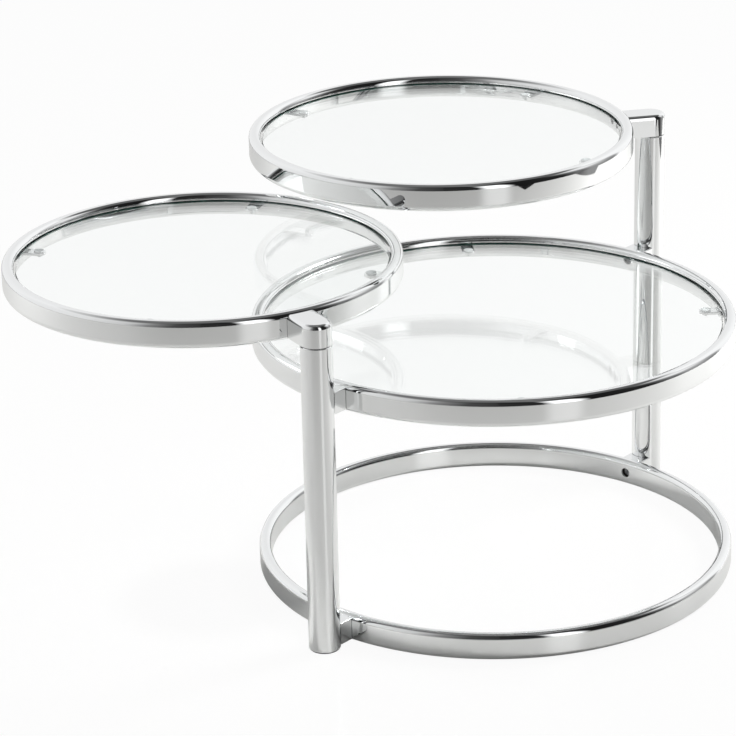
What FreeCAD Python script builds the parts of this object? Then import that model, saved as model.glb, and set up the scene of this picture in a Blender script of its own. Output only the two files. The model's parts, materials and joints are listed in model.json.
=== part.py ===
# Coffee table of chromed tube: a base ring, a glass shelf and two glass tops that swivel on two posts.
# Millimetres. Seen from the front, +X is right, +Y is away and +Z is up.
# The origin is on the base ring's axis, on the floor.
import FreeCAD
import Part
import math
import os
from FreeCAD import Vector

# Flat-oval tube that every ring is bent from: its narrow sides are round, with a small flat left on them
tube_height = 28.0
tube_width = 12.5
tube_flat = 1.0
tube_wall = 1.5

# Rings: outer radius, and the highest ring's underside above the floor
base_radius = 250.0
top_radius = 205.0
upper_top_height = 399.0

# Rise from the shelf's ring to the lower top, and from there to the upper top
top_step = 75.0

# Posts
post_diameter = 32.0
post_wall = 2.0
post_gap = 11.0
post_edge = 0.6

# Directions in plan, in degrees from +X
rear_post_angle = 49.7
lower_top_angle = 120.5
upper_top_angle = 191.6

# Pieces that join the rings to the posts
spacer_width = 25.0
joint_inset = 2.25
spacer_edge = 1.0
cap_edge = 5.0
cap_roof = 7.0

# Socket screws and the nuts inside the posts
screw_diameter = 6.0
screw_head_diameter = 10.0
screw_head_height = 6.0
screw_socket = 5.0
screw_socket_depth = 3.0
screw_tip = 2.0
cap_screw_inset = 7.0
cap_thread_depth = 13.0
nut_diameter = 12.0
nut_length = 8.0
nut_pilot = 9.0

# Pivot inside each post's top end
pin_end = 3.0
pin_chamfer = 1.0
bush_wall = 6.0
bush_flange = 1.0
washer_room = 2.0
washer_thickness = 1.0
clip_width = 3.0
clip_thickness = 1.2
clip_groove = 0.8
clip_grip = 7.0
pivot_room = 4.0

# Glass and what it rests on
glass_thickness = 5.0
glass_drop = 7.5
glass_arris = 0.6
tab_count = 4
tab_length = 22.0
tab_width = 14.0
tab_thickness = 3.0
pad_diameter = 11.0
pad_thickness = 1.5
pad_edge = 0.5
pad_stem = 3.8
pad_barb = 5.4
pad_barb_height = 2.5

# Plastic plugs in the bottom ends of the posts
foot_flange = 1.0
foot_rib_depth = 2.0
foot_rib_count = 2
foot_room = 1.0

# Clearances
seat_clearance = 0.1
hole_clearance = 0.3
running_clearance = 0.05
press_clearance = 0.02
glass_clearance = 1.5
end_play = 0.2

# Worked out from the sizes above
tube_corner = (tube_width - tube_flat) / 2
lower_top_height = upper_top_height - top_step
shelf_height = lower_top_height - top_step
post_radius = post_diameter / 2
post_bore = post_radius - post_wall
post_reach = base_radius + post_gap + post_radius
swivel_arm = top_radius + post_gap + post_radius
glass_bottom = tube_height - glass_drop - glass_thickness
tab_top = glass_bottom - pad_thickness
joint_top = tube_height - joint_inset
tube_middle = tube_height / 2
screw_radius = screw_diameter / 2
screw_head_radius = screw_head_diameter / 2
pin_radius = post_bore - bush_wall
groove_height = clip_thickness + 2 * seat_clearance
pivot_depth = top_step + joint_inset - tube_middle - nut_diameter / 2 - pivot_room
bush_length = pivot_depth - pin_end - groove_height - washer_thickness - end_play - bush_flange
up = Vector(0, 0, 1)


def in_xz(a, b):
    return Vector(a, 0, b)


def in_yz(a, b):
    return Vector(0, a, b)


def on_circle(radius, degrees):
    turn = math.radians(degrees)
    return Vector(radius * math.cos(turn), radius * math.sin(turn), 0)


# A rectangle with round corners, drawn in the plane that the function point gives
def rounded_rectangle(low_a, high_a, low_b, high_b, corner, point):
    bulge = corner * (1 - math.sqrt(0.5))
    edges = []
    sides = [
        ((low_a + corner, low_b), (high_a - corner, low_b)),
        ((high_a, low_b + corner), (high_a, high_b - corner)),
        ((high_a - corner, high_b), (low_a + corner, high_b)),
        ((low_a, high_b - corner), (low_a, low_b + corner)),
    ]
    corners = [
        (high_a - bulge, low_b + bulge),
        (high_a - bulge, high_b - bulge),
        (low_a + bulge, high_b - bulge),
        (low_a + bulge, low_b + bulge),
    ]
    for index, (start, end) in enumerate(sides):
        following = sides[(index + 1) % len(sides)][0]
        edges.append(Part.LineSegment(point(*start), point(*end)).toShape())
        edges.append(Part.Arc(point(*end), point(*corners[index]), point(*following)).toShape())
    return Part.Wire(edges)


# A solid of revolution about Z from (radius, height) points
def turned(points):
    corners = [in_xz(radius, height) for radius, height in points]
    outline = Part.makePolygon(corners + [corners[0]])
    return Part.Face(outline).revolve(Vector(), up, 360)


# A cylinder that starts at a point and runs along X
def along_x(radius, length, start):
    return Part.makeCylinder(radius, length, start, Vector(1, 0, 0))


# Moves a piece built at the origin, facing +X, to a place and a direction in plan
def placed(shape, place, degrees, height):
    moved = shape.copy()
    moved.rotate(Vector(), up, degrees)
    moved.translate(place + Vector(0, 0, height))
    return moved


# The outside of a ring's tube, grown by a clearance where it cuts its seat in another piece
def ring_outside(radius, clearance=0.0):
    section = rounded_rectangle(
        radius - tube_width - clearance,
        radius + clearance,
        -clearance,
        tube_height + clearance,
        tube_corner + clearance,
        in_xz,
    )
    return Part.Face(section).revolve(Vector(), up, 360)


# The hollow inside a ring's tube, with its corners cut at 45 degrees to keep the wall
def ring_hollow(radius):
    inner = radius - tube_width + tube_wall
    outer = radius - tube_wall
    top = tube_height - tube_wall
    cut = (tube_corner - tube_wall) * (2 - math.sqrt(2))
    return turned([
        (inner + cut, tube_wall),
        (outer - cut, tube_wall),
        (outer, tube_wall + cut),
        (outer, top - cut),
        (outer - cut, top),
        (inner + cut, top),
        (inner, top - cut),
        (inner, tube_wall + cut),
    ])


# Where a screw head lands inside the tube, from the post's axis, for a screw that is offset sideways
def head_seat(ring_radius, offset):
    wall_face = ring_radius - tube_wall
    edge = abs(offset) + screw_head_radius
    axis_distance = ring_radius + post_gap + post_radius
    return axis_distance - math.sqrt(wall_face ** 2 - edge ** 2) + seat_clearance


# Drilling for one screw: a hole for the shank in the outer wall, and for the head in the inner wall
def screw_drilling(ring_radius, offset):
    start = Vector(post_radius, offset, tube_middle)
    seat = Vector(head_seat(ring_radius, offset), offset, tube_middle)
    shank = along_x(screw_radius + hole_clearance, post_gap + tube_width, start)
    head = along_x(screw_head_radius + hole_clearance, tube_width + post_gap, seat)
    return shank.fuse(head)


# A ring of tube, drilled at each joint: joints are (place of the post, direction to the ring's axis)
def drilled_ring(radius, joints, offsets):
    ring = ring_outside(radius).cut(ring_hollow(radius))
    for place, degrees in joints:
        for offset in offsets:
            ring = ring.cut(placed(screw_drilling(radius, offset), place, degrees, 0))
    return ring


# A socket head screw that lies along X, with its head at +X
def socket_screw(seat, tip, offset):
    centre = Vector(seat, offset, tube_middle)
    shank = along_x(screw_radius, seat - tip, Vector(tip, offset, tube_middle))
    head = along_x(screw_head_radius, screw_head_height, centre)
    socket_start = centre + Vector(screw_head_height - screw_socket_depth, 0, 0)
    socket_radius = screw_socket / math.sqrt(3)
    corners = [socket_start + in_yz(*on_circle(socket_radius, 60 * corner)[:2]) for corner in range(6)]
    socket = Part.Face(Part.makePolygon(corners + [corners[0]])).extrude(Vector(screw_head_height, 0, 0))
    return head.fuse(shank).removeSplitter().cut(socket)


# A block between a post and a fixed ring, hollowed on one side to the post and on the other to the tube
def spacer():
    half = spacer_width / 2
    section = rounded_rectangle(-half, half, joint_inset, joint_top, spacer_edge, in_yz)
    block = Part.Face(section).extrude(Vector(post_radius + post_gap + tube_width / 2, 0, 0))
    post_seat = Part.makeCylinder(post_radius + seat_clearance, tube_height)
    ring_seat = placed(ring_outside(base_radius, seat_clearance), Vector(post_reach, 0, 0), 0, 0)
    hole = along_x(screw_radius + hole_clearance, post_reach, Vector(0, 0, tube_middle))
    return block.cut(post_seat).cut(ring_seat).cut(hole)


# A threaded nut inside the post, shouldered against its wall, with a pilot through the wall
def post_nut():
    start = Vector(post_bore - nut_length, 0, tube_middle)
    barrel = along_x(nut_diameter / 2, nut_length, start)
    inside = Part.makeCylinder(post_bore - seat_clearance, tube_height)
    pilot = along_x(nut_pilot / 2, nut_length + post_wall, start)
    skin = Part.makeCylinder(post_radius - seat_clearance, tube_height)
    thread = along_x(screw_radius + seat_clearance, post_radius, Vector(0, 0, tube_middle))
    return barrel.common(inside).fuse(pilot.common(skin)).removeSplitter().cut(thread)


# A post of round tube, open at both ends, drilled for the pilots of its nuts
def post(top, toward_ring):
    outer = turned([
        (post_bore, foot_flange),
        (post_radius - post_edge, foot_flange),
        (post_radius, foot_flange + post_edge),
        (post_radius, top - post_edge),
        (post_radius - post_edge, top),
        (post_bore, top),
    ])
    for level in (0, shelf_height):
        drill = along_x(nut_pilot / 2 + seat_clearance, post_radius * 2, Vector(0, 0, tube_middle))
        outer = outer.cut(placed(drill, Vector(), toward_ring, level))
    return outer


# A plug for the post's bottom end: a thin flange to stand on, a core and ribs that grip the tube
def post_foot():
    rib = post_bore - seat_clearance
    core = post_bore - foot_rib_depth
    top = tube_middle - nut_diameter / 2 - foot_room
    pitch = (top - foot_flange) / foot_rib_count
    points = [(0, 0), (post_radius - 2 * post_edge, 0), (post_radius - post_edge, post_edge)]
    points += [(post_radius - post_edge, foot_flange), (core, foot_flange)]
    for index in range(foot_rib_count):
        shelf = foot_flange + (index + 0.5) * pitch
        points += [(core, shelf), (rib, shelf), (core, shelf + pitch / 2)]
    points.append((0, top))
    return turned(points)


# The head that carries a swivelling ring: round over the post, straight to the ring and hollowed to it
def swivel_cap():
    reach = post_radius + post_gap + tube_width / 2
    side = post_radius
    low = joint_inset
    edges = [
        Part.Arc(Vector(0, side, low), Vector(-side, 0, low), Vector(0, -side, low)).toShape(),
        Part.LineSegment(Vector(0, -side, low), Vector(reach, -side, low)).toShape(),
        Part.LineSegment(Vector(reach, -side, low), Vector(reach, side, low)).toShape(),
        Part.LineSegment(Vector(reach, side, low), Vector(0, side, low)).toShape(),
    ]
    head = Part.Face(Part.Wire(edges)).extrude(Vector(0, 0, joint_top - low))
    rim = []
    for edge in head.Edges:
        box = edge.BoundBox
        if box.ZMin > joint_top / 2 and box.XMin < reach / 2:
            rim.append(edge)
    head = head.makeFillet(cap_edge, rim)
    ring_seat = placed(ring_outside(top_radius, seat_clearance), Vector(swivel_arm, 0, 0), 0, 0)
    head = head.cut(ring_seat)
    head = head.cut(Part.makeCylinder(pin_radius + press_clearance, joint_top - cap_roof))
    for offset in cap_screw_offsets:
        start = Vector(cap_screw_tip - screw_tip, offset, tube_middle)
        head = head.cut(along_x(screw_radius + seat_clearance, swivel_arm, start))
    return head


# Pivot pin, pressed up into the cap, with a groove for the clip under the bush.
# It and the three pieces round it are drawn from the cap's underside.
def pivot_pin():
    groove = pin_radius - clip_groove
    seat = joint_top - joint_inset - cap_roof - press_clearance
    groove_bottom = clip_top - groove_height
    bottom = groove_bottom - pin_end
    return turned([
        (0, bottom),
        (pin_radius - pin_chamfer, bottom),
        (pin_radius, bottom + pin_chamfer),
        (pin_radius, groove_bottom),
        (groove, groove_bottom),
        (groove, clip_top),
        (pin_radius, clip_top),
        (pin_radius, seat - pin_chamfer),
        (pin_radius - pin_chamfer, seat),
        (0, seat),
    ])


# Flanged bush in the post's top end: the cap turns on its flange
def pivot_bush():
    bore = pin_radius + running_clearance
    sleeve = post_bore - press_clearance
    return turned([
        (bore, -bush_flange - bush_length),
        (sleeve - pin_chamfer, -bush_flange - bush_length),
        (sleeve, -bush_flange - bush_length + pin_chamfer),
        (sleeve, -bush_flange),
        (post_radius - post_edge, -bush_flange),
        (post_radius - post_edge, 0),
        (bore, 0),
    ])


# Washer between the bush's end and the clip
def pivot_washer():
    bore = pin_radius + seat_clearance
    rim = post_bore - washer_room
    top = clip_top + washer_thickness
    return turned([(bore, clip_top), (rim, clip_top), (rim, top), (bore, top)])


# Open spring clip that snaps into the pin's groove
def pivot_clip():
    bore = pin_radius - clip_groove + seat_clearance
    bottom = clip_top - seat_clearance - clip_thickness
    rim = pin_radius + clip_width
    mouth = 2 * pin_radius - clip_grip
    ring = Part.makeCylinder(rim, clip_thickness, Vector(0, 0, bottom))
    ring = ring.cut(Part.makeCylinder(bore, clip_thickness, Vector(0, 0, bottom)))
    return ring.cut(Part.makeBox(rim, mouth, clip_thickness, Vector(0, -mouth / 2, bottom)))


# Round pane with a small arris ground on both edges
def glass(ring_radius):
    radius = ring_radius - tube_width - glass_clearance
    top = glass_bottom + glass_thickness
    return turned([
        (0, glass_bottom),
        (radius - glass_arris, glass_bottom),
        (radius, glass_bottom + glass_arris),
        (radius, top - glass_arris),
        (radius - glass_arris, top),
        (0, top),
    ])


# Distance from the ring's axis to the middle of a tab's round end
def tab_end(ring_radius):
    return ring_radius - tube_width - tab_length + tab_width / 2


# Flat tab on the ring's inner face, round at its free end, with a hole for the pad's stem
def tab(ring_radius):
    half = tab_width / 2
    end = tab_end(ring_radius)
    wall = ring_radius - tube_width - seat_clearance
    low = tab_top - tab_thickness
    edges = [
        Part.Arc(Vector(end, half, low), Vector(end - half, 0, low), Vector(end, -half, low)).toShape(),
        Part.LineSegment(Vector(end, -half, low), Vector(ring_radius, -half, low)).toShape(),
        Part.LineSegment(Vector(ring_radius, -half, low), Vector(ring_radius, half, low)).toShape(),
        Part.LineSegment(Vector(ring_radius, half, low), Vector(end, half, low)).toShape(),
    ]
    strip = Part.Face(Part.Wire(edges)).extrude(Vector(0, 0, tab_thickness))
    strip = strip.common(Part.makeCylinder(wall, tube_height))
    hole = Part.makeCylinder(pad_stem / 2 + seat_clearance, tube_height, Vector(end, 0, 0))
    return strip.cut(hole)


# Clear pad pushed into a tab: a disc under the glass, a stem and a barb below the tab
def pad(ring_radius):
    disc = pad_diameter / 2
    stem = pad_stem / 2
    under = tab_top - tab_thickness
    shape = turned([
        (0, under - pad_barb_height),
        (stem, under - pad_barb_height),
        (pad_barb / 2, under - seat_clearance),
        (stem, under - seat_clearance),
        (stem, tab_top),
        (disc, tab_top),
        (disc, glass_bottom - pad_edge),
        (disc - pad_edge, glass_bottom),
        (0, glass_bottom),
    ])
    shape.translate(Vector(tab_end(ring_radius), 0, 0))
    return shape


# Copies of a piece round a ring, midway between the ring's joints
def around_ring(shape, centre, degrees, height):
    step = 360 / tab_count
    return [placed(shape, centre, degrees + (index + 0.5) * step, height) for index in range(tab_count)]


def export(name, solids):
    shape = solids[0] if len(solids) == 1 else Part.makeCompound(solids)
    if not shape.isValid():
        raise ValueError(name + " is not a valid shape")
    shape.exportStep(os.path.join("parts", name + ".step"))


cap_screw_offsets = (cap_screw_inset - post_radius, post_radius - cap_screw_inset)
cap_screw_tip = post_radius + post_gap - cap_thread_depth
post_screw_tip = post_bore - nut_length - screw_tip
clip_top = -bush_flange - bush_length - end_play - washer_thickness

front_post_angle = rear_post_angle + 180
posts = {
    "front": (on_circle(post_reach, front_post_angle), rear_post_angle, lower_top_height + joint_inset),
    "rear": (on_circle(post_reach, rear_post_angle), front_post_angle, upper_top_height + joint_inset),
}
fixed_rings = {"base": 0.0, "middle": shelf_height}
tops = {
    "lower": (posts["front"][0], lower_top_angle, lower_top_height),
    "upper": (posts["rear"][0], upper_top_angle, upper_top_height),
}

os.makedirs("parts", exist_ok=True)

post_joints = [(place, inward) for place, inward, height in posts.values()]
fixed_ring = drilled_ring(base_radius, post_joints, (0,))
top_ring = drilled_ring(top_radius, [(Vector(-swivel_arm, 0, 0), 0)], cap_screw_offsets)
post_screw = socket_screw(head_seat(base_radius, 0), post_screw_tip, 0)
cap_screws = []
for offset in cap_screw_offsets:
    cap_screws.append(socket_screw(head_seat(top_radius, offset), cap_screw_tip, offset))

# Fixed frame: two rings on two posts
for ring_name, height in fixed_rings.items():
    export(ring_name + "_ring", [placed(fixed_ring, Vector(), 0, height)])
    for post_name, (place, inward, post_top) in posts.items():
        export(ring_name + "_" + post_name + "_spacer", [placed(spacer(), place, inward, height)])
    ring_screws = [placed(post_screw, place, inward, height) for place, inward in post_joints]
    export(ring_name + "_ring_screws", ring_screws)

for post_name, (place, inward, swivel_height) in posts.items():
    export(post_name + "_post", [placed(post(swivel_height - bush_flange, inward), place, 0, 0)])
    export(post_name + "_post_foot", [placed(post_foot(), place, 0, 0)])
    post_nuts = [placed(post_nut(), place, inward, level) for level in fixed_rings.values()]
    export(post_name + "_post_nuts", post_nuts)

# Glass shelf in the middle ring
shelf_tabs = around_ring(tab(base_radius), Vector(), rear_post_angle, shelf_height)
shelf_pads = around_ring(pad(base_radius), Vector(), rear_post_angle, shelf_height)
export("middle_glass", [placed(glass(base_radius), Vector(), 0, shelf_height)])
export("middle_glass_tabs", shelf_tabs)
export("middle_glass_pads", shelf_pads)

# Swivelling tops, each on the post that carries it
for top_name, (place, outward, height) in tops.items():
    centre = place + on_circle(swivel_arm, outward)
    export(top_name + "_top_ring", [placed(top_ring, centre, outward, height)])
    export(top_name + "_glass", [placed(glass(top_radius), centre, 0, height)])
    export(top_name + "_glass_tabs", around_ring(tab(top_radius), centre, outward, height))
    export(top_name + "_glass_pads", around_ring(pad(top_radius), centre, outward, height))
    export(top_name + "_swivel_cap", [placed(swivel_cap(), place, outward, height)])
    export(top_name + "_cap_screws", [placed(screw, place, outward, height) for screw in cap_screws])
    underside = height + joint_inset
    export(top_name + "_pivot_pin", [placed(pivot_pin(), place, 0, underside)])
    export(top_name + "_pivot_washer", [placed(pivot_washer(), place, 0, underside)])
    export(top_name + "_pivot_clip", [placed(pivot_clip(), place, outward, underside)])
    export(top_name + "_pivot_bush", [placed(pivot_bush(), place, 0, underside)])
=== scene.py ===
import json
import math
import bmesh
import bpy
from mathutils import Matrix, Vector


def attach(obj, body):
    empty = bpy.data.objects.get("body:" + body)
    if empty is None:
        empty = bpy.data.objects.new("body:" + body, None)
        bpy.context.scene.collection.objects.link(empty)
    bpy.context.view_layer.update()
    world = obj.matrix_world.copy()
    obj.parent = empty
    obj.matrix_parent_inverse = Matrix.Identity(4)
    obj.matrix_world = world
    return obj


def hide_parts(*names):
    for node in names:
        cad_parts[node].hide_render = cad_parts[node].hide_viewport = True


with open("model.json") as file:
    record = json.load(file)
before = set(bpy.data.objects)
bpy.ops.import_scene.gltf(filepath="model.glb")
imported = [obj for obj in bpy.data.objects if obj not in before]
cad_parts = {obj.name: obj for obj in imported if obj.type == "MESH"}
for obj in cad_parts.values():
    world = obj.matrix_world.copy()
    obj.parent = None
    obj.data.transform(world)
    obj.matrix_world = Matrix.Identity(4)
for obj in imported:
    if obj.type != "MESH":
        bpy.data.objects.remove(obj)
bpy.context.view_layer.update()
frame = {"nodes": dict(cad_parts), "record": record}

print("frame loaded:", len(frame["nodes"]), "nodes")

layout = {  # where things stand, metres and degrees from +X
    "baseRadius": 0.250,
    "topRadius": 0.205,
    "postGap": 0.011,
    "postRadius": 0.016,
    "shelfHeight": 0.249,
    "lowerHeight": 0.324,
    "upperHeight": 0.399,
    "rearAngle": 49.7,
    "lowerAngle": 120.5,
    "upperAngle": 191.6,
}
postReach = layout["baseRadius"] + layout["postGap"] + layout["postRadius"]
swivelArm = layout["topRadius"] + layout["postGap"] + layout["postRadius"]
tiny = 1e-6  # lengths below this count as nothing
mergeDistance = 1e-7


def onCircle(radius, degrees, height=0.0):
    turn = math.radians(degrees)
    return Vector((radius * math.cos(turn), radius * math.sin(turn), height))


def raised(spot, height):
    return Vector((spot[0], spot[1], height))


frontAngle = layout["rearAngle"] + 180
rearSpot = onCircle(postReach, layout["rearAngle"])
frontSpot = onCircle(postReach, frontAngle)
fixedRings = {"base": 0.0, "middle": layout["shelfHeight"]}  # height of each ring that doesn't turn
tops = {
    "lower": {
        "post": frontSpot,
        "angle": layout["lowerAngle"],
        "height": layout["lowerHeight"],
        "centre": frontSpot + onCircle(swivelArm, layout["lowerAngle"]),
    },
    "upper": {
        "post": rearSpot,
        "angle": layout["upperAngle"],
        "height": layout["upperHeight"],
        "centre": rearSpot + onCircle(swivelArm, layout["upperAngle"]),
    },
}


# materials

def newMaterial(name):
    material = bpy.data.materials.new(name)
    material.use_nodes = True
    tree = material.node_tree
    return material, tree, tree.nodes["Principled BSDF"]


def link(tree, fromNode, fromSocket, toNode, toSocket):
    tree.links.new(fromNode.outputs[fromSocket], toNode.inputs[toSocket])


def objectNoise(tree, scale, detail, stretch=None):  # noise in the piece's own coordinates
    place = tree.nodes.new("ShaderNodeTexCoord")
    noise = tree.nodes.new("ShaderNodeTexNoise")
    noise.inputs["Scale"].default_value = scale
    noise.inputs["Detail"].default_value = detail
    if stretch:
        mapping = tree.nodes.new("ShaderNodeMapping")
        mapping.inputs["Scale"].default_value = stretch
        link(tree, place, "Object", mapping, "Vector")
        link(tree, mapping, "Vector", noise, "Vector")
    else:
        link(tree, place, "Object", noise, "Vector")
    return noise


def twoTone(tree, noise, finish, shader):
    ramp = tree.nodes.new("ShaderNodeValToRGB")
    ramp.color_ramp.elements[0].color = (*finish["dark"], 1)
    ramp.color_ramp.elements[1].color = (*finish["light"], 1)
    link(tree, noise, "Fac", ramp, "Fac")
    link(tree, ramp, "Color", shader, "Base Color")


def uneven(tree, noise, finish, shader, span=(0.0, 1.0)):  # roughness that follows the noise
    gloss = tree.nodes.new("ShaderNodeMapRange")
    gloss.inputs["From Min"].default_value = span[0]
    gloss.inputs["From Max"].default_value = span[1]
    gloss.inputs["To Min"].default_value = finish["gloss"][0]
    gloss.inputs["To Max"].default_value = finish["gloss"][1]
    link(tree, noise, "Fac", gloss, "Value")
    link(tree, gloss, "Result", shader, "Roughness")


def bumped(tree, noise, strength, distance, shader):
    bump = tree.nodes.new("ShaderNodeBump")
    bump.inputs["Strength"].default_value = strength
    bump.inputs["Distance"].default_value = distance
    link(tree, noise, "Fac", bump, "Height")
    link(tree, bump, "Normal", shader, "Normal")


plating = {"hazeDetail": 4.0, "hazeSpan": (0.3, 0.75), "rippleDetail": 1.0, "rippleHeight": 0.001}


def chromeMaterial(name, finish):
    material, tree, shader = newMaterial(name)
    shader.inputs["Base Color"].default_value = (*finish["colour"], 1)
    shader.inputs["Metallic"].default_value = 1.0
    haze = objectNoise(tree, finish["hazeScale"], plating["hazeDetail"])  # wiping haze
    uneven(tree, haze, finish, shader, plating["hazeSpan"])
    ripple = objectNoise(tree, finish["rippleScale"], plating["rippleDetail"])  # from bending
    bumped(tree, ripple, finish["ripple"], plating["rippleHeight"], shader)
    return material


tubeChrome = chromeMaterial("tubeChrome", {
    "colour": (0.86, 0.87, 0.875),
    "hazeScale": 38.0,
    "gloss": (0.013, 0.035),
    "rippleScale": 30.0,
    "ripple": 0.03,
})
castChrome = chromeMaterial("castChrome", {
    "colour": (0.85, 0.86, 0.865),
    "hazeScale": 90.0,
    "gloss": (0.012, 0.045),
    "rippleScale": 60.0,
    "ripple": 0.04,
})


def glassMaterial(name, finish):
    material, tree, shader = newMaterial(name)
    shader.inputs["Base Color"].default_value = (*finish["surface"], 1)
    shader.inputs["Transmission Weight"].default_value = 1.0
    shader.inputs["IOR"].default_value = finish["bend"]
    shader.inputs["Roughness"].default_value = 0.0
    tint = tree.nodes.new("ShaderNodeVolumeAbsorption")
    tint.inputs["Color"].default_value = (*finish["tint"], 1)
    tint.inputs["Density"].default_value = finish["depth"]
    link(tree, tint, "Volume", tree.nodes["Material Output"], "Volume")
    return material


clearGlass = glassMaterial("clearGlass", {
    "surface": (1.0, 1.0, 1.0),
    "bend": 1.45,
    "tint": (0.55, 0.86, 0.78),
    "depth": 6.0,
})


def rimMaterial(name, finish):  # ground edge of the pane: green of the glass, made near-black as painted shade and dark reflection of the gap beside the ring
    material, tree, shader = newMaterial(name)
    shader.inputs["Roughness"].default_value = finish["roughness"]
    grind = objectNoise(tree, finish["grindScale"], finish["grindDetail"])
    twoTone(tree, grind, finish, shader)
    return material


# the rim's near-black colours are painted shade on top of the glass's green
glassRim = rimMaterial("glassRim", {
    "dark": (0.006, 0.03, 0.024),
    "light": (0.03, 0.1, 0.08),
    "grindScale": 160.0,
    "grindDetail": 3.0,
    "roughness": 0.3,
})
moulding = {"grainDetail": 6.0, "grainHeight": 0.0002}


def plasticMaterial(name, finish):
    material, tree, shader = newMaterial(name)
    shader.inputs["Roughness"].default_value = finish["roughness"]
    shader.inputs["Transmission Weight"].default_value = finish["clear"]
    grain = objectNoise(tree, finish["grainScale"], moulding["grainDetail"])
    twoTone(tree, grain, finish, shader)
    bumped(tree, grain, finish["grain"], moulding["grainHeight"], shader)
    return material


blackPlastic = plasticMaterial("blackPlastic", {
    "dark": (0.012, 0.012, 0.013),
    "light": (0.03, 0.03, 0.032),
    "grainScale": 900.0,
    "grain": 0.25,
    "roughness": 0.45,
    "clear": 0.0,
})
clearPad = plasticMaterial("clearPad", {
    "dark": (0.86, 0.89, 0.89),
    "light": (0.94, 0.96, 0.96),
    "grainScale": 300.0,
    "grain": 0.08,
    "roughness": 0.22,
    "clear": 0.4,
})
turning = {"acrossScale": 60.0, "detail": 3.0}


def steelMaterial(name, finish):
    material, tree, shader = newMaterial(name)
    shader.inputs["Metallic"].default_value = 1.0
    stretch = (turning["acrossScale"], turning["acrossScale"], finish["marks"])  # turning marks run round
    marks = objectNoise(tree, 1.0, turning["detail"], stretch)
    twoTone(tree, marks, finish, shader)
    uneven(tree, marks, finish, shader)
    return material


zincSteel = steelMaterial("zincSteel", {
    "dark": (0.6, 0.61, 0.63),
    "light": (0.82, 0.83, 0.85),
    "marks": 60.0,
    "gloss": (0.36, 0.5),
})
pivotSteel = steelMaterial("pivotSteel", {
    "dark": (0.42, 0.43, 0.45),
    "light": (0.66, 0.67, 0.69),
    "marks": 1800.0,
    "gloss": (0.25, 0.4),
})
tubeInside = steelMaterial("tubeInside", {  # unplated inside of the tube, seen through the screw holes; bare steel whose near-black colour is painted shade inside the closed tube
    "dark": (0.03, 0.028, 0.026),
    "light": (0.09, 0.083, 0.076),
    "marks": 200.0,
    "gloss": (0.5, 0.7),
})
slotMaterials = {
    "chrome_tube": tubeChrome,
    "chrome_cast": castChrome,
    "clear_glass": clearGlass,
    "clear_pad": clearPad,
    "black_plastic": blackPlastic,
    "zinc_steel": zincSteel,
    "pivot_steel": pivotSteel,
}
print("materials made:", len(slotMaterials))


# mesh helpers

def meshObject(name, bm):
    mesh = bpy.data.meshes.new(name)
    bm.to_mesh(mesh)
    bm.free()
    piece = bpy.data.objects.new(name, mesh)
    bpy.context.scene.collection.objects.link(piece)
    return piece


def bakeModifiers(piece):
    graph = bpy.context.evaluated_depsgraph_get()
    baked = bpy.data.meshes.new_from_object(piece.evaluated_get(graph))
    old = piece.data
    piece.modifiers.clear()
    piece.data = baked
    bpy.data.meshes.remove(old)


def cutAway(bm, cutters):  # takes each cutter out of bm
    body = meshObject("cutBody", bm)
    tools = []
    for cutter in cutters:
        bmesh.ops.recalc_face_normals(cutter, faces=cutter.faces)
        tools.append(meshObject("cutTool", cutter))
        step = body.modifiers.new("cut", "BOOLEAN")
        step.operation = "DIFFERENCE"
        step.solver = "MANIFOLD"
        step.object = tools[-1]
    bakeModifiers(body)
    result = bmesh.new()
    result.from_mesh(body.data)
    for piece in [body] + tools:
        mesh = piece.data
        bpy.data.objects.remove(piece)
        bpy.data.meshes.remove(mesh)
    return result


def turnAndMove(bm, degrees, spot):
    turn = Matrix.Rotation(math.radians(degrees), 3, "Z")
    bmesh.ops.rotate(bm, cent=(0, 0, 0), matrix=turn, verts=bm.verts)
    bmesh.ops.translate(bm, vec=spot, verts=bm.verts)


def spinRound(bm, turns):  # full turn about Z
    bmesh.ops.spin(bm, geom=bm.verts[:] + bm.edges[:], cent=(0, 0, 0), axis=(0, 0, 1), dvec=(0, 0, 0),
                   angle=2 * math.pi, steps=turns, use_merge=True, use_duplicate=False)


def spun(points, turns):  # solid of a closed outline of (radius, height)
    bm = bmesh.new()
    corners = [bm.verts.new((radius, 0, height)) for radius, height in points]
    for first, second in zip(corners, corners[1:] + corners[:1]):
        bm.edges.new((first, second))
    spinRound(bm, turns)
    bmesh.ops.remove_doubles(bm, verts=bm.verts, dist=mergeDistance)
    return bm


def rod(radius, start, end, steps, spot=(0, 0)):  # cylinder along X
    bm = bmesh.new()
    bmesh.ops.create_cone(bm, cap_ends=True, segments=steps, radius1=radius, radius2=radius,
                          depth=end - start)
    bmesh.ops.rotate(bm, cent=(0, 0, 0), matrix=Matrix.Rotation(math.pi / 2, 3, "Y"), verts=bm.verts)
    bmesh.ops.translate(bm, vec=((start + end) / 2, *spot), verts=bm.verts)
    return bm


def roundEdges(bm, edges, size, steps):
    bmesh.ops.bevel(bm, geom=edges, offset=size, offset_type="OFFSET", segments=steps, profile=0.5,
                    affect="EDGES", material=-1)


def levelEdges(bm):
    return [edge for edge in bm.edges if abs(edge.verts[0].co.z - edge.verts[1].co.z) < tiny]


def joined(parts):
    bm = bmesh.new()
    for part in parts:
        mesh = bpy.data.meshes.new("part")
        part.to_mesh(mesh)
        part.free()
        bm.from_mesh(mesh)
        bpy.data.meshes.remove(mesh)
    return bm


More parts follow.
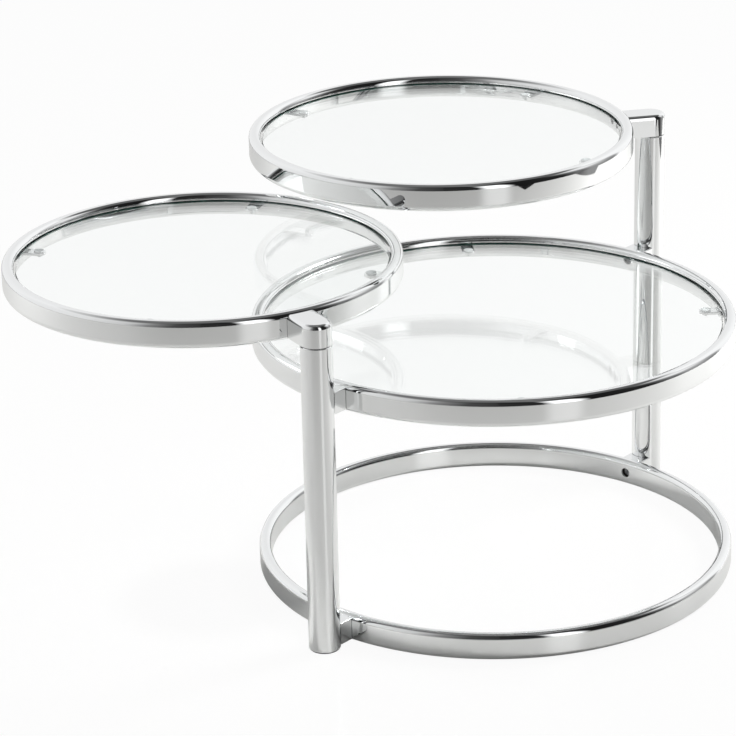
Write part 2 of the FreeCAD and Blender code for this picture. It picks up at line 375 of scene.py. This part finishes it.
def finishPiece(name, bm, body, slot, nodes, sharp=35.0):
    bmesh.ops.recalc_face_normals(bm, faces=bm.faces)
    piece = meshObject(name, bm)
    mesh = piece.data
    mesh.polygons.foreach_set("use_smooth", [True] * len(mesh.polygons))
    mesh.set_sharp_from_angle(angle=math.radians(sharp))
    even = piece.modifiers.new("even", "WEIGHTED_NORMAL")  # keeps flat bands flat beside round corners
    even.keep_sharp = True
    even.weight = 100
    bakeModifiers(piece)
    piece.data.materials.append(slotMaterials[slot])
    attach(piece, body)
    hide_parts(*nodes)
    return piece


# rings of bent tube

tube = {
    "width": 0.0125,
    "height": 0.028,
    "corner": 0.00575,
    "wall": 0.0015,
    "cornerSteps": 10,
    "turns": 360,
    "headHole": 0.0053,
    "holeSteps": 48,
    "holeMargin": 0.0002,
    "capHoleOffset": 0.009,
}


def ringTube(radius, grow=0.0):
    bm = bmesh.new()
    bmesh.ops.create_grid(bm, x_segments=1, y_segments=1, size=0.5)
    bmesh.ops.scale(bm, vec=(tube["width"] + 2 * grow, tube["height"] + 2 * grow, 1), verts=bm.verts)
    bmesh.ops.rotate(bm, cent=(0, 0, 0), matrix=Matrix.Rotation(math.pi / 2, 3, "X"), verts=bm.verts)
    bmesh.ops.bevel(bm, geom=bm.verts[:], offset=tube["corner"] + grow, offset_type="OFFSET",
                    segments=tube["cornerSteps"], profile=0.5, affect="VERTICES", material=-1)
    bmesh.ops.translate(bm, vec=(radius - tube["width"] / 2, 0, tube["height"] / 2), verts=bm.verts)
    bmesh.ops.delete(bm, geom=bm.faces[:], context="FACES_ONLY")
    spinRound(bm, tube["turns"])
    bmesh.ops.recalc_face_normals(bm, faces=bm.faces)
    return bm


def headHole(radius, offset):  # blind hole from the inner face to the outer wall, along +X
    depth = math.sqrt((radius - tube["wall"]) ** 2 - (abs(offset) + tube["headHole"]) ** 2)
    middle = (offset, tube["height"] / 2)
    return rod(tube["headHole"], radius - 2 * tube["width"], depth, tube["holeSteps"], middle)


def inHole(point, radius):  # true on the walls of a screw hole, for a ring at the origin
    fromMiddle = abs(point.xy.length - radius + tube["width"] / 2)
    if fromMiddle >= tube["width"] / 2 - tube["holeMargin"]:
        return False
    return abs(point.z - tube["height"] / 2) < tube["headHole"] + tube["holeMargin"]


def mouthEnd(radius):  # how far out the plated mouth of a screw hole reaches
    return radius - tube["width"] + tube["wall"]


def splitHole(bm, radius, degrees):  # parts the plated mouth of a hole from the bare inside of the tube, which takes the painted shade
    walls = [face for face in bm.faces if inHole(face.calc_center_median(), radius)]
    edges = {edge for face in walls for edge in face.edges}
    corners = {vert for face in walls for vert in face.verts}
    bmesh.ops.bisect_plane(bm, geom=walls + list(edges) + list(corners), dist=mergeDistance,
                           plane_co=onCircle(mouthEnd(radius), degrees), plane_no=onCircle(1.0, degrees))


def makeRing(name, radius, centre, height, joints, offsets, body):
    bm = ringTube(radius)
    cutters = []
    for degrees in joints:
        for offset in offsets:
            cutter = headHole(radius, offset)
            turnAndMove(cutter, degrees, (0, 0, 0))
            cutters.append(cutter)
    bm = cutAway(bm, cutters)
    for degrees in joints:
        splitHole(bm, radius, degrees)
    spot = raised(centre, height)
    turnAndMove(bm, 0, spot)
    piece = finishPiece(name + "Ring", bm, body, "chrome_tube", [name + "_ring"])
    piece.data.materials.append(tubeInside)
    # faces deep in each screw hole take tubeInside, near-black as painted shade inside the tube
    for face in piece.data.polygons:
        away = face.center - spot
        if inHole(away, radius) and away.xy.length > mouthEnd(radius):
            face.material_index = 1
    return piece


postAngles = (layout["rearAngle"], frontAngle)
for ring, height in fixedRings.items():
    makeRing(ring, layout["baseRadius"], Vector(), height, postAngles, (0.0,), "frame")
capOffsets = (-tube["capHoleOffset"], tube["capHoleOffset"])
for top, place in tops.items():
    makeRing(top + "_top", layout["topRadius"], place["centre"], place["height"], (place["angle"] + 180,),
             capOffsets, top + "_top")
print("rings made")

# posts

post = {"wall": 0.002, "edge": 0.0006, "flange": 0.001, "lift": 0.00225, "turns": 160}


def makePost(name, spot, top):
    outer = layout["postRadius"]
    low, high = post["flange"], top + post["lift"] - post["flange"]
    bm = spun([
        (outer - post["wall"], low),
        (outer - post["edge"], low),
        (outer, low + post["edge"]),
        (outer, high - post["edge"]),
        (outer - post["edge"], high),
        (outer - post["wall"], high),
    ], post["turns"])
    turnAndMove(bm, 0, spot)
    return finishPiece(name + "Post", bm, "frame", "chrome_tube", [name + "_post"])


makePost("front", frontSpot, layout["lowerHeight"])
makePost("rear", rearSpot, layout["upperHeight"])
print("posts made")

# spacers between the posts and the fixed rings

spacer = {
    "width": 0.025,
    "inset": 0.00225,
    "edge": 0.001,
    "edgeSteps": 4,
    "seat": 0.0001,
    "line": 0.0004,  # dark joint line that shows beside each block and cap
    "cutLow": -0.01,
    "cutHigh": 0.05,
}
blockReach = layout["postRadius"] + layout["postGap"] + tube["width"] / 2  # from post axis to mid tube


def makeSpacer(name, spot, degrees, height):
    low, high = spacer["inset"], tube["height"] - spacer["inset"]
    bm = bmesh.new()
    bmesh.ops.create_cube(bm, size=1.0)
    bmesh.ops.scale(bm, vec=(blockReach, spacer["width"], high - low), verts=bm.verts)
    bmesh.ops.translate(bm, vec=(blockReach / 2, 0, (low + high) / 2), verts=bm.verts)
    long = [edge for edge in bm.edges if abs(edge.verts[0].co.x - edge.verts[1].co.x) > blockReach / 2]
    roundEdges(bm, long, spacer["edge"], spacer["edgeSteps"])
    hollow = layout["postRadius"] + spacer["line"]
    postCut = spun([
        (0, spacer["cutLow"]),
        (hollow, spacer["cutLow"]),
        (hollow, spacer["cutHigh"]),
        (0, spacer["cutHigh"]),
    ], post["turns"])
    ringCut = ringTube(layout["baseRadius"], spacer["line"])
    bmesh.ops.translate(ringCut, vec=(postReach, 0, 0), verts=ringCut.verts)
    bm = cutAway(bm, [postCut, ringCut])
    turnAndMove(bm, degrees, raised(spot, height))
    return finishPiece(name.replace("_", "") + "Block", bm, "frame", "chrome_cast", [name + "_spacer"])


for ring, height in fixedRings.items():
    makeSpacer(ring + "_front", frontSpot, layout["rearAngle"], height)
    makeSpacer(ring + "_rear", rearSpot, frontAngle, height)
print("spacers made")

# swivel caps on the post tops

cap = {"edge": 0.005, "edgeSteps": 10, "roundSteps": 96}


def roundEnded(radius, reach, steps):  # flat outline: half disc at the origin, straight sides to +X
    bm = bmesh.new()
    bmesh.ops.create_circle(bm, cap_ends=True, radius=radius, segments=steps)
    bmesh.ops.bisect_plane(bm, geom=bm.verts[:] + bm.edges[:] + bm.faces[:], dist=mergeDistance,
                           plane_co=(0, 0, 0), plane_no=(1, 0, 0), clear_outer=True)
    straight = [edge for edge in bm.edges if all(abs(vert.co.x) < tiny for vert in edge.verts)]
    grown = bmesh.ops.extrude_edge_only(bm, edges=straight)["geom"]
    ends = [item for item in grown if isinstance(item, bmesh.types.BMVert)]
    bmesh.ops.translate(bm, vec=(reach, 0, 0), verts=ends)
    bmesh.ops.dissolve_edges(bm, edges=[edge for edge in straight if edge.is_valid], use_verts=False)
    bmesh.ops.recalc_face_normals(bm, faces=bm.faces)
    return bm


def thicken(bm, low, high):
    bmesh.ops.translate(bm, vec=(0, 0, low), verts=bm.verts)
    grown = bmesh.ops.extrude_face_region(bm, geom=bm.faces[:])["geom"]
    lifted = [item for item in grown if isinstance(item, bmesh.types.BMVert)]
    bmesh.ops.translate(bm, vec=(0, 0, high - low), verts=lifted)
    bmesh.ops.recalc_face_normals(bm, faces=bm.faces)
    return bm


def makeCap(top, spot, degrees, height):
    roof = tube["height"] - spacer["inset"]
    bm = thicken(roundEnded(layout["postRadius"], blockReach, cap["roundSteps"]), spacer["inset"], roof)
    rim = []
    for edge in bm.edges:
        first, second = edge.verts[0].co, edge.verts[1].co
        if min(first.z, second.z) > roof / 2 and min(first.x, second.x) < blockReach / 2:
            rim.append(edge)
    roundEdges(bm, rim, cap["edge"], cap["edgeSteps"])
    ringCut = ringTube(layout["topRadius"], spacer["line"])
    bmesh.ops.translate(ringCut, vec=(swivelArm, 0, 0), verts=ringCut.verts)
    bm = cutAway(bm, [ringCut])
    turnAndMove(bm, degrees, raised(spot, height))
    return finishPiece(top + "Cap", bm, top + "_top", "chrome_cast", [top + "_swivel_cap"])


for top, place in tops.items():
    makeCap(top, place["post"], place["angle"], place["height"])
print("caps made")

# glass panes

pane = {
    "bottom": 0.0155,
    "thickness": 0.005,
    "arris": 0.0006,
    "arrisSteps": 2,
    "room": 0.0015,
    "turns": 256,
    "sharp": 20.0,
    "flat": 0.9,  # faces that lean more than this belong to the ground edge
}


def makeGlass(name, radius, centre, height, body):
    bm = bmesh.new()
    glassRadius = radius - tube["width"] - pane["room"]
    bmesh.ops.create_circle(bm, cap_ends=True, radius=glassRadius, segments=pane["turns"])
    thicken(bm, pane["bottom"], pane["bottom"] + pane["thickness"])
    roundEdges(bm, levelEdges(bm), pane["arris"], pane["arrisSteps"])
    turnAndMove(bm, 0, raised(centre, height))
    piece = finishPiece(name + "Pane", bm, body, "clear_glass", [name + "_glass"], pane["sharp"])
    # edge faces take glassRim, green with painted shade
    piece.data.materials.append(glassRim)
    for face in piece.data.polygons:
        if abs(face.normal.z) < pane["flat"]:
            face.material_index = 1
    piece.visible_shadow = False  # clear panes let the studio light through
    return piece


makeGlass("middle", layout["baseRadius"], Vector(), layout["shelfHeight"], "frame")
for top, place in tops.items():
    makeGlass(top, layout["topRadius"], place["centre"], place["height"], top + "_top")
print("glass made")

# tabs under the glass, and the clear pads in them

tab = {
    "length": 0.022,
    "width": 0.014,
    "thickness": 0.003,
    "edge": 0.0004,
    "edgeSteps": 3,
    "roundSteps": 48,
    "count": 4,
    "holeSteps": 32,
    "cutHigh": 0.03,
}
pad = {
    "radius": 0.0055,
    "thickness": 0.0015,
    "edge": 0.0005,
    "stem": 0.0019,
    "barb": 0.0027,
    "barbHeight": 0.0025,
    "turns": 48,
}


def makeTabs(name, radius, centre, height, degrees, body):
    half = tab["width"] / 2
    tabTop = pane["bottom"] - pad["thickness"]
    tabLow = tabTop - tab["thickness"]
    end = radius - tube["width"] - tab["length"] + half
    holeRadius = pad["stem"] + spacer["seat"]
    spot = raised(centre, height)
    tabs, pads = [], []
    for index in range(tab["count"]):
        turn = degrees + (index + 0.5) * 360 / tab["count"]
        outline = roundEnded(half, tab["length"] - half - spacer["seat"], tab["roundSteps"])
        plate = thicken(outline, tabLow, tabTop)
        roundEdges(plate, levelEdges(plate), tab["edge"], tab["edgeSteps"])
        hole = spun([
            (0, 0),
            (holeRadius, 0),
            (holeRadius, tab["cutHigh"]),
            (0, tab["cutHigh"]),
        ], tab["holeSteps"])
        plate = cutAway(plate, [hole])
        bmesh.ops.translate(plate, vec=(end, 0, 0), verts=plate.verts)
        turnAndMove(plate, turn, spot)
        tabs.append(plate)
        button = spun([
            (0, tabLow - pad["barbHeight"]),
            (pad["stem"], tabLow - pad["barbHeight"]),
            (pad["barb"], tabLow - spacer["seat"]),
            (pad["stem"], tabLow - spacer["seat"]),
            (pad["stem"], tabTop),
            (pad["radius"], tabTop),
            (pad["radius"], pane["bottom"] - pad["edge"]),
            (pad["radius"] - pad["edge"], pane["bottom"]),
            (0, pane["bottom"]),
        ], pad["turns"])
        bmesh.ops.translate(button, vec=(end, 0, 0), verts=button.verts)
        turnAndMove(button, turn, spot)
        pads.append(button)
    finishPiece(name + "Tabs", joined(tabs), body, "chrome_cast", [name + "_glass_tabs"])
    finishPiece(name + "Pads", joined(pads), body, "clear_pad", [name + "_glass_pads"])


makeTabs("middle", layout["baseRadius"], Vector(), layout["shelfHeight"], layout["rearAngle"], "frame")
for top, place in tops.items():
    makeTabs(top, layout["topRadius"], place["centre"], place["height"], place["angle"], top + "_top")
print("tabs and pads made")

# socket screws in the rings

screw = {
    "radius": 0.003,
    "shankSteps": 32,
    "head": 0.005,
    "headHeight": 0.006,
    "headSteps": 48,
    "edge": 0.0005,
    "edgeSteps": 3,
    "socket": 0.005,
    "socketDepth": 0.003,
    "socketSides": 6,
    "cutOver": 0.002,
    "ringTip": 0.004,  # tips, measured from the axis of the post
    "capTip": 0.014,
}


def socketScrew(seat, tip, offset):  # lies along X, head at +X
    mouth = seat + screw["headHeight"]
    head = rod(screw["head"], seat, mouth, screw["headSteps"])
    halfway = seat + screw["headHeight"] / 2
    outer = [edge for edge in head.edges if min(vert.co.x for vert in edge.verts) > halfway]
    roundEdges(head, outer, screw["edge"], screw["edgeSteps"])
    keyRadius = screw["socket"] / math.sqrt(3)
    key = rod(keyRadius, mouth - screw["socketDepth"], mouth + screw["cutOver"], screw["socketSides"])
    head = cutAway(head, [key])
    shank = rod(screw["radius"], tip, seat, screw["shankSteps"])
    bm = joined([head, shank])
    bmesh.ops.translate(bm, vec=(0, offset, tube["height"] / 2), verts=bm.verts)
    return bm


def headSeat(radius, offset):
    edge = abs(offset) + screw["head"]
    axisDistance = radius + layout["postGap"] + layout["postRadius"]
    return axisDistance - math.sqrt((radius - tube["wall"]) ** 2 - edge ** 2) + spacer["seat"]


for ring, height in fixedRings.items():
    screws = []
    for spot, degrees in ((frontSpot, layout["rearAngle"]), (rearSpot, frontAngle)):
        bm = socketScrew(headSeat(layout["baseRadius"], 0.0), screw["ringTip"], 0.0)
        turnAndMove(bm, degrees, raised(spot, height))
        screws.append(bm)
    finishPiece(ring + "Screws", joined(screws), "frame", "zinc_steel", [ring + "_ring_screws"])
for top, place in tops.items():
    screws = []
    for offset in capOffsets:
        bm = socketScrew(headSeat(layout["topRadius"], offset), screw["capTip"], offset)
        turnAndMove(bm, place["angle"], raised(place["post"], place["height"]))
        screws.append(bm)
    finishPiece(top + "CapScrews", joined(screws), top + "_top", "zinc_steel", [top + "_cap_screws"])
print("screws made")

# the CAD nodes that stay take their finish by slot

for subpart in frame["record"]["subparts"]:
    node = frame["nodes"][subpart["node"]]
    if node.data.materials:
        for index in range(len(node.data.materials)):
            node.data.materials[index] = slotMaterials[subpart["material_slot"]]
    else:
        node.data.materials.append(slotMaterials[subpart["material_slot"]])


# studio: pale floor, white walls behind and to the left, darker room in front

def mathNode(tree, operation, second=None):
    node = tree.nodes.new("ShaderNodeMath")
    node.operation = operation
    if second is not None:
        node.inputs[1].default_value = second
    return node


def straightRays(tree):  # 1 for rays from the camera, also through panes, that no mirror has turned
    path = tree.nodes.new("ShaderNodeLightPath")
    unturned = mathNode(tree, "LESS_THAN", 0.5)
    through = mathNode(tree, "MULTIPLY")
    seen = mathNode(tree, "ADD")
    link(tree, path, "Glossy Depth", unturned, 0)
    link(tree, path, "Is Transmission Ray", through, 0)
    link(tree, unturned, "Value", through, 1)
    link(tree, path, "Is Camera Ray", seen, 0)
    link(tree, through, "Value", seen, 1)
    return seen


floorSet = {
    "corners": [
        (-3.5, -2.2), (0.9, -2.2), (0.9, -1.1), (1.0, -0.87), (1.42, -0.6), (1.42, -0.1), (1.38, 0.3),
        (1.6, 1.0), (2.2, 3.2), (-3.5, 3.2),
    ],
    "height": -0.0005,
    "colour": (0.84, 0.835, 0.815),
    "gloss": 0.14,
    "glow": 0.94,
    "paintedShadowSpot": (-0.30, -0.09, 0.0),  # painted shadow of the base ring on the floor sheet, left of the ring, away from the key light
    "paintedShadowReach": (0.065, 0.12),
    # darkest level of the painted shadow
    "shade": 0.45,
}
floorMesh = bmesh.new()
floorMesh.faces.new([floorMesh.verts.new((x, y, floorSet["height"])) for x, y in floorSet["corners"]])
floor = meshObject("studioFloor", floorMesh)
floorMaterial, floorTree, sheet = newMaterial("paleFloor")  # pale semi-gloss sheet
sheet.inputs["Roughness"].default_value = floorSet["gloss"]
surface = floorTree.nodes.new("ShaderNodeNewGeometry")
# painted shadow: the sheet's colour is darkened in a soft spot beside the left of the base ring
distance = floorTree.nodes.new("ShaderNodeVectorMath")
distance.operation = "DISTANCE"
distance.inputs[1].default_value = floorSet["paintedShadowSpot"]
paintedShadowFade = floorTree.nodes.new("ShaderNodeMapRange")
paintedShadowFade.interpolation_type = "SMOOTHSTEP"
paintedShadowFade.inputs["From Min"].default_value = floorSet["paintedShadowReach"][0]
paintedShadowFade.inputs["From Max"].default_value = floorSet["paintedShadowReach"][1]
paintedShadowFade.inputs["To Min"].default_value = floorSet["shade"]
paintedShadowTone = floorTree.nodes.new("ShaderNodeMixRGB")
paintedShadowTone.blend_type = "MULTIPLY"
paintedShadowTone.inputs["Fac"].default_value = 1.0
paintedShadowTone.inputs["Color1"].default_value = (*floorSet["colour"], 1)
glow = floorTree.nodes.new("ShaderNodeEmission")
glow.inputs["Color"].default_value = (1, 1, 1, 1)
share = mathNode(floorTree, "MULTIPLY", floorSet["glow"])
blend = floorTree.nodes.new("ShaderNodeMixShader")
clear = floorTree.nodes.new("ShaderNodeBsdfTransparent")
oneSided = floorTree.nodes.new("ShaderNodeMixShader")  # the table shows from below through the floor
link(floorTree, surface, "Position", distance, 0)
link(floorTree, distance, "Value", paintedShadowFade, "Value")
link(floorTree, paintedShadowFade, "Result", paintedShadowTone, "Color2")
link(floorTree, paintedShadowTone, "Color", sheet, "Base Color")
link(floorTree, straightRays(floorTree), "Value", share, 0)
link(floorTree, share, "Value", blend, "Fac")
link(floorTree, sheet, "BSDF", blend, 1)
link(floorTree, glow, "Emission", blend, 2)
link(floorTree, surface, "Backfacing", oneSided, "Fac")
link(floorTree, blend, "Shader", oneSided, 1)
link(floorTree, clear, "BSDF", oneSided, 2)
link(floorTree, oneSided, "Shader", floorTree.nodes["Material Output"], "Surface")
floor.data.materials.append(floorMaterial)

room = {  # brightness by compass degrees (0 is away from the viewer, 90 is right) or by degrees of height
    "walls": [
        (-180, 0.04), (-165, 0.07), (-150, 0.26), (-138, 0.63), (-114, 0.82), (-54, 0.98), (0, 0.90),
        (36, 1.08), (54, 1.05), (64, 0.75), (74, 0.98), (84, 0.92), (91, 0.42), (98, 0.12), (106, 0.02),
        (138, 0.01), (144, 1.5), (154, 1.5), (160, 0.02), (180, 0.03),
    ],
    "leftHeights": [(44, 1.0), (50, 0.74), (56, 0.55), (62, 0.30), (68, 0.10), (88, 0.06)],
    "rightHeights": [(44, 1.0), (51, 0.13), (88, 0.08)],
    "rightShare": [(-38, 0.0), (4, 1.0)],
    "skirt": [(-4, 0.34), (8, 0.42), (20, 0.62), (28, 1.0)],  # dark foot of the right-hand wall
    "skirtShare": [(54, 0.0), (60, 1.0), (92, 1.0), (98, 0.0)],
    "ceiling": [(50, 0.0), (62, 0.03), (72, 0.09), (88, 0.13)],
}
backdrop = (0.985, 0.985, 0.985, 1)  # what the camera sees past the floor, level with it
scene = bpy.context.scene
world = bpy.data.worlds.new("studioWorld")
scene.world = world
world.use_nodes = True
worldTree = world.node_tree
sky = worldTree.nodes["Background"]
toward = worldTree.nodes.new("ShaderNodeTexCoord")
axes = worldTree.nodes.new("ShaderNodeSeparateXYZ")
compass = mathNode(worldTree, "ARCTAN2")
around = worldTree.nodes.new("ShaderNodeMapRange")
around.inputs["From Min"].default_value = -math.pi
around.inputs["From Max"].default_value = math.pi
upright = worldTree.nodes.new("ShaderNodeMapRange")
upright.inputs["From Min"].default_value = -1.0
link(worldTree, toward, "Generated", axes, "Vector")
link(worldTree, axes, "X", compass, 0)
link(worldTree, axes, "Y", compass, 1)
link(worldTree, compass, "Value", around, "Value")
link(worldTree, axes, "Z", upright, "Value")


def greyRamp(key, source):
    node = worldTree.nodes.new("ShaderNodeValToRGB")
    marks = node.color_ramp.elements
    while len(marks) < len(room[key]):
        marks.new(0.5)
    for mark, (degrees, level) in zip(marks, room[key]):
        if source == around:
            mark.position = (degrees + 180) / 360
        else:
            mark.position = (math.sin(math.radians(degrees)) + 1) / 2
        mark.color = (level, level, level, 1)
    link(worldTree, source, "Result", node, "Fac")
    return node


def blended(mode, first, second, share=None):
    node = worldTree.nodes.new("ShaderNodeMixRGB")
    node.blend_type = mode
    node.inputs["Fac"].default_value = 1.0
    if share:
        link(worldTree, share, "Color", node, "Fac")
    link(worldTree, first, "Color", node, "Color1")
    link(worldTree, second, "Color", node, "Color2")
    return node


leftShade = greyRamp("leftHeights", upright)
rightShade = greyRamp("rightHeights", upright)
shade = blended("MIX", leftShade, rightShade, greyRamp("rightShare", around))
lit = blended("MULTIPLY", greyRamp("walls", around), shade)
lit = blended("MULTIPLY", lit, greyRamp("skirt", upright), greyRamp("skirtShare", around))
lit = blended("ADD", lit, greyRamp("ceiling", upright))
pick = worldTree.nodes.new("ShaderNodeMixRGB")
pick.inputs["Color2"].default_value = backdrop
link(worldTree, straightRays(worldTree), "Value", pick, "Fac")
link(worldTree, lit, "Color", pick, "Color1")
link(worldTree, pick, "Color", sky, "Color")
sky.inputs["Strength"].default_value = 1.0

lamps = {  # soft lights that the metal doesn't show; they give the floor its shade
    "keyLight": {"spot": (1.53, 0.71, 1.41), "aim": (0, 0, 0.1), "size": 0.7, "power": 37.0},
    "sideLight": {"spot": (-1.7, 0.4, 0.8), "aim": (-1.4, 0.1, 0), "size": 0.8, "power": 5.4},
}
for name, lamp in lamps.items():
    lampData = bpy.data.lights.new(name, "AREA")
    lampData.energy = lamp["power"]
    lampData.size = lamp["size"]
    lampObject = bpy.data.objects.new(name, lampData)
    lampObject.location = lamp["spot"]
    beam = Vector(lamp["aim"]) - Vector(lamp["spot"])
    lampObject.rotation_euler = beam.to_track_quat("-Z", "Y").to_euler()
    lampObject.visible_glossy = False
    scene.collection.objects.link(lampObject)

# camera at the photograph's viewing angle

view = {
    "spot": (-0.11545, -2.98538, 1.38298),
    "pitch": 0.3704,
    "roll": -0.0212,
    "focus": 3079.9,
    "middle": (382.57, 361.76),
    "frame": 736,
    "sensor": 36.0,
    "farClip": 50.0,
}
camera = bpy.data.objects.new("camera", bpy.data.cameras.new("camera"))
scene.collection.objects.link(camera)
ahead = Vector((0, math.cos(view["pitch"]), -math.sin(view["pitch"])))
side = Vector((1, 0, 0))
above = Vector((0, math.sin(view["pitch"]), math.cos(view["pitch"])))
right = math.cos(view["roll"]) * side + math.sin(view["roll"]) * above
upward = math.cos(view["roll"]) * above - math.sin(view["roll"]) * side
turn = Matrix((right, upward, -ahead)).transposed()
camera.matrix_world = Matrix.Translation(view["spot"]) @ turn.to_4x4()
camera.data.sensor_width = view["sensor"]
camera.data.lens = view["sensor"] * view["focus"] / view["frame"]
camera.data.shift_x = (view["frame"] / 2 - view["middle"][0]) / view["frame"]
camera.data.shift_y = (view["middle"][1] - view["frame"] / 2) / view["frame"]
camera.data.clip_end = view["farClip"]
scene.camera = camera
scene.view_settings.view_transform = "Standard"
print("studio and camera set")
